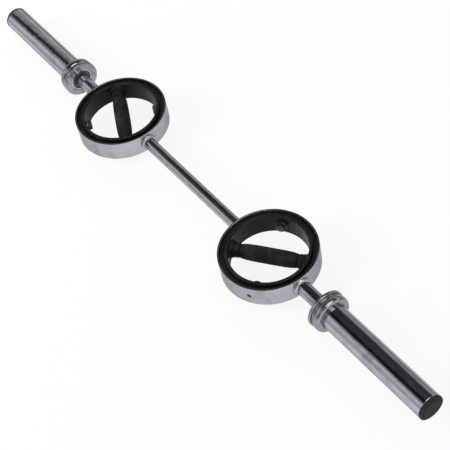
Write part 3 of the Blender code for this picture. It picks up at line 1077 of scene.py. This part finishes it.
@dataclass
class TurningGrip(EndPart):
    """The hoop that turns in a ring, with its handle, end cups and guide bolts.

    Attributes:
        hoop_outer: Outer radius of the hoop.
        hoop_inner: Inner radius of the hoop.
        hoop_height: Height of the hoop.
        hoop_edge: Rounding of its edges.
        core_radius: Radius of the handle's core.
        nose_radius: Radius of the noses and pins that run in the race.
        nose_reach: How far out they reach.
        belly: Radius at the middle of the handle.
        grip_end: Radius at the ends of the rubber.
        grip_half: Half the length of the rubber.
        grip_rows: Rows along the rubber.
        grip_lip: Rounding of the rubber's rims.
        diamonds: Raised diamonds round the handle.
        diamond_length: Length of a diamond.
        pattern_depth: Depth of the pattern.
        pattern_half: Half the length of the pattern.
        bead_offset: Distance of the bead in each plain band from the handle's middle.
        cup_neck: Radius of a cup at its neck.
        cup_foot: Radius of a cup at the hoop.
        rib: Height of a cup's ribs.
        rib_shares: Where the ribs lie, as shares of the way from neck to foot.
        bolt_corner: Radius of a guide bolt's head.
        bolt_head: Height of that head.
        washer_radius: Radius of its washer.
        washer: Thickness of its washer.
    """

    hoop_outer: float = 0.080
    hoop_inner: float = 0.074
    hoop_height: float = 0.042
    hoop_edge: float = 0.0019
    core_radius: float = 0.008
    nose_radius: float = 0.005
    nose_reach: float = 0.0852
    belly: float = 0.0155
    grip_end: float = 0.0132
    grip_half: float = 0.056
    grip_rows: int = 252
    grip_lip: float = 0.0014
    diamonds: int = 30
    diamond_length: float = 0.0052
    pattern_depth: float = 0.0006
    pattern_half: float = 0.0475
    bead_offset: float = 0.0505
    cup_neck: float = 0.0138
    cup_foot: float = 0.0195
    rib: float = 0.0004
    rib_shares: tuple[float, float] = (0.16, 0.34)
    bolt_corner: float = 0.0098
    bolt_head: float = 0.007
    washer_radius: float = 0.0105
    washer: float = 0.002

    def hoop(self) -> Shell:
        """Return the hoop, a tall ring with well rounded edges."""
        half = self.hoop_height / 2
        return lathe(section(self.hoop_inner, self.hoop_outer, -half, half), self.hoop_edge,
                     216, steps=8)

    def on_wall(self, radius: float) -> float:
        """Return how far out a flat disc of this radius reaches inside the hoop."""
        return math.sqrt(self.hoop_inner ** 2 - radius ** 2) - self.layout.seat_gap

    def core(self) -> Shell:
        """Work out the steel core, a rod that steps down to a nose at each end.

        Returns:
            The core along Z about the origin.
        """
        shoulder, reach = self.on_wall(self.core_radius), self.nose_reach
        outline = [(0.0, -reach), (self.nose_radius, -reach), (self.nose_radius, -shoulder),
                   (self.core_radius, -shoulder), (self.core_radius, shoulder),
                   (self.nose_radius, shoulder), (self.nose_radius, reach), (0.0, reach)]
        return lathe(outline, 0.0005, 48, closed=False)

    def rubber(self) -> Shell:
        """Work out the grip.

        Its radius is the belly less (belly - end) s^4, where s runs from -1 to 1 along it,
        and less a quarter round at each rim. Two families of lines cross on it, at
        n t / 2 + pi z / p and n t / 2 - pi z / p; the lesser of their sines is 0 along the
        lines and rises to the diamonds, which stand pattern_depth proud. Plain bands with a
        bead are left at the ends.

        Returns:
            The grip along Z about the origin.
        """
        angle = all_round(self.diamonds * 8)
        flat = np.ones(angle.shape)
        z = np.linspace(-1.0, 1.0, self.grip_rows)[:, None] * self.grip_half
        thin = (self.belly - self.grip_end) * (np.abs(z) / self.grip_half) ** 4
        lip = self.grip_lip
        over = np.clip((np.abs(z) - (self.grip_half - lip)) / lip, 0.0, 1.0)
        rim = lip * (1.0 - np.sqrt(1.0 - over ** 2))
        one, two = (np.abs(np.sin(self.diamonds * angle / 2 + way * math.pi * z
                                  / self.diamond_length)) for way in (1, -1))
        diamond = smoothstep(np.minimum(one, two) * 2.2)
        zone = smoothstep((self.pattern_half - np.abs(z)) / 0.0012)
        bead = mound(np.abs(z), self.bead_offset, 0.0009)
        raised = zone * diamond + (1.0 - zone) * bead
        radius = self.belly - thin - rim - self.pattern_depth * (1.0 - raised)
        bore = (self.core_radius + self.layout.seat_gap) * np.ones((2, 1)) * flat
        return swept(np.concatenate([radius, bore]), np.concatenate([z, z[[-1, 0]]]), angle,
                     np.concatenate([raised, 0.0 * bore]))

    def cup(self) -> Shell:
        """Work out an end cup.

        Its radius goes from neck to foot as 1 - sqrt(1 - s^2), a trumpet. The height at s
        is shared out between the neck and the hoop's wall, which at y across the handle is
        sqrt(R^2 - y^2) out, so the foot lies on the wall all round. Two ribs go round it.

        Returns:
            The cup along Z, with the ring's centre at the origin.
        """
        angle = all_round(96)
        flat, gap = np.ones(angle.shape), self.layout.seat_gap
        wall, bore, neck = self.hoop_inner - gap, self.core_radius + gap, self.grip_half + gap
        s = np.linspace(0.0, 1.0, 30)[:, None]
        rise = (self.cup_foot - self.cup_neck) * (1.0 - np.sqrt(1.0 - (0.995 * s) ** 2))
        ribs = sum(mound(s, share, 0.035) for share in self.rib_shares)
        ease = 0.0006 * (1.0 - smoothstep(s / 0.06))
        radius = (self.cup_neck + rise - self.rib + self.rib * ribs - ease) * flat
        height = neck + s * (np.sqrt(wall ** 2 - (radius * np.sin(angle)) ** 2) - neck)
        foot = np.array([[self.cup_foot * 0.7], [bore]]) * flat
        foot_height = np.sqrt(wall ** 2 - (foot * np.sin(angle)) ** 2)
        mouth = np.array([[bore], [self.cup_neck - 0.0022]]) * flat
        worn = np.concatenate([(ribs + 0.8 * (s > 0.93)) * flat, 0.0 * foot, 0.0 * mouth])
        return swept(np.concatenate([radius, foot, mouth]),
                     np.concatenate([height, foot_height, np.full(mouth.shape, neck)]), angle,
                     np.clip(worn, 0.0, 1.0))

    def dress(self, shop: Workshop) -> None:
        """Make the grip in the scene.

        Args:
            shop: Where the pieces are made.
        """
        label, body, looks = self.side.label, self.side.label + "_grip_unit", shop.finishes
        gap = self.layout.seat_gap
        place = self.layout.ring_place(self.side, turn_z=self.layout.handle_turn(self.side))
        along, against = (place @ matrix_of(turn_y=way * QUARTER) for way in (1, -1))
        for node, slot, shell, material, sharp in (
                ("hoop", "black_enamel", self.hoop().placed(place), looks.enamel, 35.0),
                ("handle_core", "steel", self.core().placed(along), looks.steel, 35.0),
                ("grip", "rubber", self.rubber().placed(along), looks.rubber, 70.0),
                ("front_cup", "rubber", self.cup().placed(along), looks.rubber, 35.0),
                ("back_cup", "rubber", self.cup().placed(against), looks.rubber, 35.0)):
            shop.add(f"{label}_{node}", body, slot, shell, material, sharp)
        seat = self.on_wall(self.washer_radius)
        under_head = seat - self.washer - gap
        washer = lathe(section(self.nose_radius + gap, self.washer_radius, -seat,
                               self.washer - seat), 0.00035, 72)
        bolt = HexBolt(self.bolt_corner, self.bolt_head, self.nose_radius,
                       self.nose_reach - under_head).shell()
        for number, way in ((1, 1), (2, -1)):
            spun = place @ matrix_of(turn_x=way * QUARTER)
            shop.add(f"{label}_guide_washer_{number}", body, "steel", washer.placed(spun),
                     looks.steel)
            shifted = place @ matrix_of((0.0, way * under_head, 0.0), turn_x=way * QUARTER)
            shop.add(f"{label}_guide_bolt_{number}", body, "dark_steel", bolt.placed(shifted),
                     looks.oxide, sharp_degrees=25.0)


@dataclass
class Spindle(EndPart):
    """The spindle that carries a sleeve, with the washer and bolt at its end.

    Attributes:
        thread: Radius of the end bolt.
        thread_depth: Depth of its hole.
        pitch: Pitch of its thread.
        washer_radius: Radius of the retaining washer.
        washer: Thickness of that washer.
        bolt_corner: Radius of the end bolt's head.
        bolt_head: Height of that head.
        tip_room: Room left past the bolt's tip.
        pressed: Length at the ring that is pressed onto its wall.
    """

    thread: float = 0.006
    thread_depth: float = 0.034
    pitch: float = 0.00175
    washer_radius: float = 0.019
    washer: float = 0.003
    bolt_corner: float = 0.011
    bolt_head: float = 0.008
    tip_room: float = 0.0008
    pressed: float = 0.002

    def shell(self) -> Shell:
        """Work out the spindle.

        It is a turned outline whose first rows, the end that meets the ring, are pressed
        onto the ring's wall: their height is offset + sqrt(R^2 - (p sin a)^2).

        Returns:
            The spindle along Z, with the bar's middle at the origin.
        """
        layout, end = self.layout, self.layout.spindle_end
        radius, hole = layout.spindle_radius, self.thread + layout.seat_gap
        start = layout.ring_offset + layout.band_outer + layout.seat_gap
        outline = [(0.0, start), (radius, start), (radius, layout.shoulder),
                   (layout.journal, layout.shoulder), (layout.journal, end), (hole, end),
                   (hole, end - self.thread_depth), (0.0, end - self.thread_depth)]
        profile, wear = rounded(outline, 0.0004, closed=False)
        shell = turned(profile, wear, all_round(96), looped=False)
        near_wall = profile[:, 1] < start + self.pressed
        across = shell.points[near_wall, :, 1]
        wall = layout.ring_offset + layout.wall_offset(across)
        shell.points[near_wall, :, 2] = wall + (profile[near_wall, 1][:, None] - start)
        return shell

    def dress(self, shop: Workshop) -> None:
        """Make the spindle and its fasteners in the scene.

        Args:
            shop: Where the pieces are made.
        """
        gap, end, looks = self.layout.seat_gap, self.layout.spindle_end, shop.finishes
        place, low = self.layout.line_place(self.side.value), end + gap
        washer = lathe(section(self.thread + gap, self.washer_radius, low, low + self.washer),
                       0.0004, 96)
        head = end + self.washer + 2 * gap
        length = head - (end - self.thread_depth) - self.tip_room
        bolt = HexBolt(self.bolt_corner, self.bolt_head, self.thread, length, self.pitch).shell()
        at_end = place @ matrix_of((0.0, 0.0, head))
        for node, slot, shell, material, sharp in (
                ("spindle", "chrome", self.shell().placed(place), looks.bar_chrome, 35.0),
                ("retaining_washer", "steel", washer.placed(place), looks.steel, 35.0),
                ("end_bolt", "steel", bolt.placed(at_end), looks.steel, 25.0)):
            shop.add(f"{self.side.label}_{node}", "bar", slot, shell, material, sharp)


@dataclass
class PlateSleeve(EndPart):
    """A turning sleeve for plates, with its collar, end cap, seal and bushings.

    Attributes:
        radius: Outer radius of the sleeve.
        wall: Thickness of the sleeve.
        flange_radius: Radius of the collar's thin flange.
        flange: Thickness of that flange.
        groove_radius: Radius between flange and ridge.
        groove: Width between flange and ridge.
        ridge_radius: Radius of the wide ridge.
        ridge: Thickness of the ridge.
        ridge_square: How square its arch is, 2 for a half-round.
        ridge_rows: Rows across the ridge.
        shoulder_radius: Outer radius of the flat face that a plate rests on.
        cap: Thickness of the end cap's disc.
        boss_radius: Radius of its flat boss.
        boss: Height of that boss.
        skirt: Length of its skirt in the sleeve.
        skirt_wall: Thickness of its skirt.
        seal_inset: How far the seal sits inside the sleeve's mouth.
        seal: Thickness of the seal.
        bushing: Length of a bushing.
    """

    radius: float = 0.025
    wall: float = 0.004
    flange_radius: float = 0.038
    flange: float = 0.006
    groove_radius: float = 0.032
    groove: float = 0.0045
    ridge_radius: float = 0.0372
    ridge: float = 0.0155
    ridge_square: float = 2.2
    ridge_rows: int = 42
    shoulder_radius: float = 0.0318
    cap: float = 0.0057
    boss_radius: float = 0.018
    boss: float = 0.0008
    skirt: float = 0.0105
    skirt_wall: float = 0.003
    seal_inset: float = 0.0015
    seal: float = 0.005
    bushing: float = 0.036

    @property
    def lining(self) -> float:
        """Return the radius of what sits inside the sleeve."""
        return self.radius - self.wall - self.layout.seat_gap

    def tube(self) -> Shell:
        """Return the sleeve, a tube with its outer edges eased."""
        corners = section(self.radius - self.wall, self.radius, self.layout.collar_face,
                          self.layout.sleeve_end)
        return lathe(corners, [0.0004, 0.0009, 0.0009, 0.0004], 128)

    def collar(self) -> Shell:
        """Work out the stop collar: thin flange, groove, and a wide ridge like a flat bead.

        Across its thickness the ridge's radius is foot + (crest - foot) (1 - |s|^p)^(1 / p)
        with s from -1 to 1, a squared-off arch. The foot is the groove's floor in front and
        the plate shoulder's edge at the back.

        Returns:
            The collar along Z, with the bar's middle at the origin.
        """
        bore, front = self.radius + self.layout.seat_gap, self.layout.collar_face
        back_of_flange = front + self.flange
        ridge_front = back_of_flange + self.groove
        back = ridge_front + self.ridge
        outline = [(bore, front), (self.flange_radius, front),
                   (self.flange_radius, back_of_flange), (self.groove_radius, back_of_flange),
                   (self.groove_radius, ridge_front)]
        start, start_wear = rounded(outline, [0.0005, 0.0022, 0.0018, 0.0016, 0.0004],
                                    closed=False, steps=8)
        s = -np.cos(np.linspace(0.0, math.pi, self.ridge_rows))
        arch = (1.0 - np.abs(s) ** self.ridge_square) ** (1.0 / self.ridge_square)
        foot = np.where(s < 0.0, self.groove_radius, self.shoulder_radius)
        ridge = np.stack([foot + (self.ridge_radius - foot) * arch,
                          ridge_front + self.ridge * (1.0 + s) / 2.0], axis=1)
        end = np.array([(bore + 0.0005, back), (bore, back - 0.0005)])
        profile = np.concatenate([start[:-1], ridge, end])
        wear = np.concatenate([start_wear[:-1], arch ** 6, [0.5, 0.5]])
        return turned(profile, wear, all_round(160))

    def end_cap(self) -> Shell:
        """Work out the end cap: skirt, disc with an eased rim, and a flat boss in a groove.

        Returns:
            The cap along Z, with the bar's middle at the origin.
        """
        seat = self.layout.sleeve_end + self.layout.seat_gap
        face, boss = seat + self.cap, self.boss_radius
        rim, skirt_end = face - self.boss, seat - self.skirt
        floor, skirt_bore = rim - 0.0007, self.lining - self.skirt_wall
        outline = [(0.0, seat), (skirt_bore, seat), (skirt_bore, skirt_end),
                   (self.lining, skirt_end), (self.lining, seat), (self.radius, seat),
                   (self.radius, rim), (boss + 0.0026, rim), (boss + 0.0019, floor),
                   (boss + 0.0009, floor), (boss, face), (0.0, face)]
        return lathe(outline, [0.0004] * 6 + [0.0022] + [0.0004] * 5, 128, closed=False, steps=6)

    def dust_seal(self) -> Shell:
        """Work out the seal, a ring with a raised lip next to the spindle.

        Returns:
            The seal along Z, with the bar's middle at the origin.
        """
        low = self.layout.collar_face + self.seal_inset
        high, shelf, rim = low + self.seal, low + 0.0012, low + 0.0002
        bore, outer = self.layout.spindle_radius + self.layout.running_gap, self.lining
        outline = [(bore, low), (bore + 0.0011, low), (bore + 0.0019, shelf),
                   (outer - 0.0011, shelf), (outer - 0.0006, rim), (outer, rim),
                   (outer, high), (bore, high)]
        return lathe(outline, 0.0003, 96)

    def bush(self, low: float) -> Shell:
        """Work out a bushing with two oil grooves round it.

        Args:
            low: Distance of its near end from the bar's middle.

        Returns:
            The bushing along Z, with the bar's middle at the origin.
        """
        high, outer, half_groove = low + self.bushing, self.lining, 0.0015
        bore, third = self.layout.journal + self.layout.running_gap, self.bushing / 3
        notch = [(outer, 0.0), (outer - 0.0008, 0.0008), (outer - 0.0008, 0.0022),
                 (outer, 2 * half_groove)]
        outline = [(bore, low), (outer, low)]
        for start in (low + third - half_groove, high - third - half_groove):
            outline += [(radius, start + rise) for radius, rise in notch]
        return lathe(outline + [(outer, high), (bore, high)], 0.0004, 96)

    def dress(self, shop: Workshop) -> None:
        """Make the sleeve in the scene.

        Args:
            shop: Where the pieces are made.
        """
        label, looks = self.side.label, shop.finishes
        place = self.layout.line_place(self.side.value)
        inner_bush = self.bush(self.layout.shoulder + self.layout.running_gap)
        outer_bush = self.bush(self.layout.spindle_end - self.bushing)
        for node, slot, shell, material in (
                ("sleeve_tube", "chrome", self.tube(), looks.bar_chrome),
                ("stop_collar", "chrome", self.collar(), looks.collar_chrome),
                ("end_cap", "black_cap", self.end_cap(), looks.cap),
                ("dust_seal", "steel", self.dust_seal(), looks.seal),
                ("inner_bushing", "bronze", inner_bush, looks.bronze),
                ("outer_bushing", "bronze", outer_bush, looks.bronze)):
            shop.add(f"{label}_{node}", label + "_sleeve_unit", slot, shell.placed(place),
                     material)


# Studio and camera


def square(name: str, half: float, material: Material) -> bpy.types.Object:
    """Put a flat square that isn't part of the bar into the scene.

    Args:
        name: Name of the square.
        half: Half its width.
        material: Its finish.

    Returns:
        The square, flat about the origin.
    """
    mesh = bpy.data.meshes.new(name)
    corners = [(-half, -half, 0.0), (half, -half, 0.0), (half, half, 0.0), (-half, half, 0.0)]
    mesh.from_pydata(corners, [], [(0, 1, 2, 3)])
    mesh.materials.append(material)
    sheet = bpy.data.objects.new(name, mesh)
    bpy.context.scene.collection.objects.link(sheet)
    return sheet


@dataclass(frozen=True)
class MirrorCard:
    """A soft-edged card that only mirrors see.

    Attributes:
        name: Name of the card.
        centre: Place of its middle.
        half: Half its width and half its height.
        solid: Shares of its half width and half height that are fully there before they fade.
        shade: Its brightness.
        turn: Angles round X, Y and Z, in degrees.
    """

    name: str
    centre: Triple
    half: tuple[float, float]
    solid: tuple[float, float]
    shade: float
    turn: Triple = (0.0, 0.0, 0.0)

    def finish(self) -> Material:
        """Mix a plain glow that fades towards each edge in an S curve.

        Returns:
            The material.
        """
        recipe = Recipe(self.name)
        split = recipe.add("SeparateXYZ", {0: recipe.place}).node.outputs
        there = [recipe.ramp(recipe.math("ABSOLUTE", split[axis]), solid, 1.0, 1.0, 0.0)
                 for axis, solid in zip("XY", self.solid)]
        glow = recipe.add("Emission", {"Color": (self.shade, self.shade, self.shade, 1.0)})
        return recipe.show(recipe.add("BsdfTransparent", {}), glow,
                           recipe.math("MULTIPLY", *there))

    def hang(self) -> None:
        """Hang the card in the studio, unseen but in mirrors."""
        card = square(self.name, 1.0, self.finish())
        card.location = self.centre
        card.rotation_euler = [math.radians(angle) for angle in self.turn]
        card.scale = (*self.half, 1.0)
        card.visible_camera = False
        card.visible_diffuse = False
        card.visible_shadow = False
        card.visible_transmission = False


UPRIGHT, ENDWISE = (90.0, 0.0, 0.0), (90.0, 0.0, 90.0)
CARDS = (
    MirrorCard("card_overhead", (-0.1, 1.02, 2.6), (3.86, 6.5), (0.68, 0.19), 0.045),
    MirrorCard("card_overhead_strip", (-3.97, -1.4, 2.5), (2.2, 0.54), (0.7, 0.29), 0.02,
               (0.0, 0.0, 50.4)),
    MirrorCard("card_overhead_gap", (-0.7, -1.03, 2.5), (0.99, 1.01), (0.5, 0.3), 0.01),
    MirrorCard("card_overhead_grey", (-3.6, 4.0, 2.7), (4.04, 5.5), (0.6, 0.6), 0.47),
    MirrorCard("card_far_side", (-0.8, 3.6, 0.53), (5.0, 0.71), (0.8, 0.6), 0.34, UPRIGHT),
    MirrorCard("card_near_side", (-0.8, -4.2, 0.2), (5.0, 2.4), (0.8, 0.6), 0.56, UPRIGHT),
    MirrorCard("card_near_side_dark", (0.9, -4.0, 1.1), (2.0, 1.9), (0.7, 0.7), 0.12, UPRIGHT),
    MirrorCard("card_far_end", (-4.5, -0.24, 1.0), (3.35, 3.2), (0.6, 0.6), 0.39, ENDWISE),
    # The next two grey cards lie just above the floor and are painted floor shade, seen only in
    # mirrors: the bar's shadow on the far side, and a dimmer floor under the far sleeve's
    # reflection.
    MirrorCard("card_floor_far_side", (-0.3, 1.6, 0.003), (3.2, 1.5), (0.7, 0.8), 0.25),
    MirrorCard("card_floor_far_end", (-0.7, -1.3, 0.003), (1.3, 1.25), (0.6, 0.8), 0.35),
    MirrorCard("card_kicker", (0.98, 0.45, 2.2), (1.1, 0.95), (0.85, 0.5), 2.3))


@dataclass
class Studio:
    """A pale floor under soft light, with dark and grey cards that the chrome mirrors.

    Attributes:
        floor_half: Half the width of the floor.
        floor_drop: How far the floor lies below the bar's lowest point.
        floor_colour: Colour of the floor.
        floor_white: Share of plain white that the camera sees in the floor.
        mirrored_white: Share of plain white that the chrome mirrors in the floor.
        world_strength: Strength of the even light from all round.
        world_seen: Brightness of the white surroundings as seen and mirrored.
    """

    floor_half: float = 7.0
    floor_drop: float = 0.0004
    floor_colour: Triple = (0.9, 0.9, 0.9)
    floor_white: float = 0.88
    mirrored_white: float = 0.4
    world_strength: float = 0.62
    world_seen: float = 0.95

    def world(self) -> None:
        """Light the scene evenly in white from all round."""
        world = bpy.data.worlds.new("studio_white")
        world.use_nodes = True
        tree = world.node_tree
        background = tree.nodes["Background"]
        background.inputs["Color"].default_value = (1.0, 1.0, 1.0, 1.0)
        rays = tree.nodes.new("ShaderNodeLightPath").outputs
        strength = tree.nodes.new("ShaderNodeMapRange")
        strength.inputs["To Min"].default_value = self.world_seen
        strength.inputs["To Max"].default_value = self.world_strength
        tree.links.new(rays["Is Diffuse Ray"], strength.inputs["Value"])
        tree.links.new(strength.outputs["Result"], background.inputs["Strength"])
        bpy.context.scene.world = world

    def floor_finish(self) -> Material:
        """Return the floor's white, which the camera sees mostly unshaded.

        Returns:
            Matt white mixed with plain white by the share that such rays get, so that what
            is left of the matt white keeps the bar's shadow.
        """
        recipe = Recipe("floor_white")
        grain = recipe.ramp(recipe.noise(3.0, 2.0), 0.3, 0.7, 0.0, 0.02)
        recipe.set(Roughness=0.9, Specular_IOR_Level=0.0,
                   Base_Color=recipe.blend(grain, self.floor_colour, (1.0, 1.0, 1.0)))
        rays = recipe.nodes.new("ShaderNodeLightPath").outputs
        mirrored = recipe.math("MAXIMUM", rays["Is Glossy Ray"], rays["Is Transmission Ray"])
        mirrored = recipe.math("MULTIPLY", mirrored, self.mirrored_white)
        seen = recipe.math("MULTIPLY", rays["Is Camera Ray"], self.floor_white)
        return recipe.show(recipe.shader.outputs[0], recipe.add("Emission", {}),
                           recipe.math("MAXIMUM", seen, mirrored))

    def lamp(self, name: str, place: Triple, size: float, watts: float) -> None:
        """Hang a square soft lamp that points at the bar's middle.

        Args:
            name: Name of the lamp.
            place: Where it hangs.
            size: Its width.
            watts: Its power.
        """
        data = bpy.data.lights.new(name, "AREA")
        data.shape, data.size, data.energy = "SQUARE", size, watts
        lamp = bpy.data.objects.new(name, data)
        lamp.location = place
        lamp.visible_glossy = False
        back = np.array(place) / np.linalg.norm(place)
        lamp.rotation_euler = (math.acos(back[2]), 0.0, math.atan2(back[1], back[0]) + QUARTER)
        bpy.context.scene.collection.objects.link(lamp)

    def build(self) -> None:
        """Make the whole studio."""
        self.world()
        square("floor", self.floor_half, self.floor_finish()).location.z = -self.floor_drop
        for card in CARDS:
            card.hang()
        self.lamp("soft_lamp_side", (-1.6, -3.2, 2.2), 1.8, 110.0)
        self.lamp("soft_lamp_end", (-3.4, 1.2, 1.8), 1.6, 40.0)


@dataclass
class PhotoCamera:
    """The camera, placed where the photograph was taken from.

    Attributes:
        place: Its place.
        turn: Its angles round X, Y and Z, in degrees.
        lens: Its focal length, in millimetres.
        frame_width: Width of its frame, in millimetres.
        reach: The nearest and farthest that it sees.
    """

    place: Triple = (1.52531, -0.69941, 1.88013)
    turn: Triple = (39.32989, 8.87948, 53.24974)
    lens: float = 103.834
    frame_width: float = 36.0
    reach: tuple[float, float] = (0.05, 60.0)

    def build(self) -> None:
        """Make the camera and look through it."""
        data = bpy.data.cameras.new("photo_camera")
        data.sensor_width, data.lens = self.frame_width, self.lens
        data.clip_start, data.clip_end = self.reach
        camera = bpy.data.objects.new("photo_camera", data)
        camera.location = self.place
        camera.rotation_euler = [math.radians(angle) for angle in self.turn]
        bpy.context.scene.collection.objects.link(camera)
        bpy.context.scene.camera = camera


def main() -> None:
    """Build the camera, the studio and every piece of the bar."""
    logging.basicConfig(level=logging.INFO, format="%(name)s: %(message)s")
    bpy.context.scene.view_settings.view_transform = "Standard"
    PhotoCamera().build()
    Studio().build()
    shop, layout = Workshop(Finishes()), Layout()
    MiddleShaft(layout).dress(shop)
    for side in Side:
        FixedRing(layout, side).dress(shop)
        WeldBead(layout, side, outer=False).dress(shop)
        WeldBead(layout, side, outer=True).dress(shop)
        TurningGrip(layout, side).dress(shop)
        Spindle(layout, side).dress(shop)
        PlateSleeve(layout, side).dress(shop)
    LOG.info("%d pieces made", shop.made)


if __name__ == "__main__":
    main()
